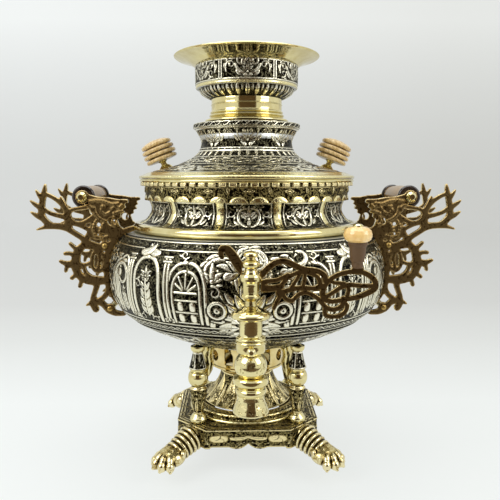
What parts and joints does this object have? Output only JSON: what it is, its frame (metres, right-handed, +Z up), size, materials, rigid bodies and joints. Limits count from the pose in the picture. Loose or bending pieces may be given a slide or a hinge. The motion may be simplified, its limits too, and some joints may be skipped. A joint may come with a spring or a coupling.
{
  "type": "samovar",
  "caption": "Charcoal-fired brass water urn with lion-paw feet, engraved round belly, stag handles, lift-off lid, teapot crown and a tap with an openwork lever.",
  "frame": {"origin": "on the urn's axis, at the plane its feet stand on", "axes": "+Z up, +X to the right of someone facing the tap, the tap towards -Y"},
  "size_m": [0.505, 0.3809, 0.4761],
  "materials": {
    "brass_polished": "mirror polished, clear lacquer",
    "brass_engraved": "chased relief, dark patina in the recesses",
    "brass_cast": "cast, hand polished",
    "bronze_aged": "cast openwork, brown patina, bright edges",
    "brass_plain": "machined, unpolished",
    "wood_turned": "turned and waxed, burnt grooves",
    "wood_dark": "turned and stained",
    "horn_knob": "cast resin, polished",
    "black_grip": "moulded, glossy",
    "iron_grate": "as cast, sooty",
    "steel_fastener": "turned"
  },
  "bodies": {
    "urn": {"base_plate": "brass_engraved", "foot_front_left": "brass_cast", "foot_front_right": "brass_cast", "foot_back_left": "brass_cast", "foot_back_right": "brass_cast", "foot_screws": "steel_fastener", "plinth_ring": "brass_engraved", "pedestal_bell": "brass_engraved", "air_collar": "brass_cast", "post_front_left": "brass_engraved", "post_front_right": "brass_engraved", "post_back_left": "brass_engraved", "post_back_right": "brass_engraved", "post_brackets": "brass_polished", "post_nuts": "steel_fastener", "belly_shell": "brass_engraved", "shoulder_ring": "brass_polished", "neck_band": "brass_engraved", "frieze_band": "brass_engraved", "rim_ring": "brass_polished", "fire_tube": "brass_plain", "grate": "iron_grate", "handle_left_front": "bronze_aged", "handle_left_back": "bronze_aged", "handle_right_front": "bronze_aged", "handle_right_back": "bronze_aged", "grip_left": "black_grip", "grip_right": "black_grip", "grip_rods": "brass_polished", "grip_nuts": "brass_polished", "handle_stays": "brass_polished", "stay_screws": "brass_polished", "tap_escutcheon": "brass_polished", "tap_body": "brass_polished", "tap_backnut": "brass_plain", "tap_spout": "brass_polished", "tap_bonnet": "brass_polished", "tap_bead": "brass_polished"},
    "lid": {"lid_cover": "brass_engraved", "lid_collar": "brass_engraved", "lid_knob_stems": "brass_polished", "lid_knob_left": "wood_turned", "lid_knob_right": "wood_turned"},
    "crown": {"crown_neck": "brass_polished", "crown_cup": "brass_engraved", "crown_dish": "brass_polished"},
    "key": {"key_plug": "brass_plain", "key_hub": "brass_polished", "key_lever": "bronze_aged", "key_finial": "brass_polished", "key_knob_post": "wood_dark", "key_knob": "horn_knob", "key_knob_cap": "brass_polished"}
  },
  "joints": [
    {"name": "key_turn", "type": "hinge", "parent": "urn", "child": "key", "pos_m": [0, -0.19, 0.187], "axis": [0, 0, -1], "range_deg": [0, 90]},
    {"name": "lid_lift", "type": "slide", "parent": "urn", "child": "lid", "axis": [0, 0, 1], "range_m": [0, 0.1]},
    {"name": "crown_lift", "type": "slide", "parent": "lid", "child": "crown", "axis": [0, 0, 1], "range_m": [0, 0.06]}
  ]
}
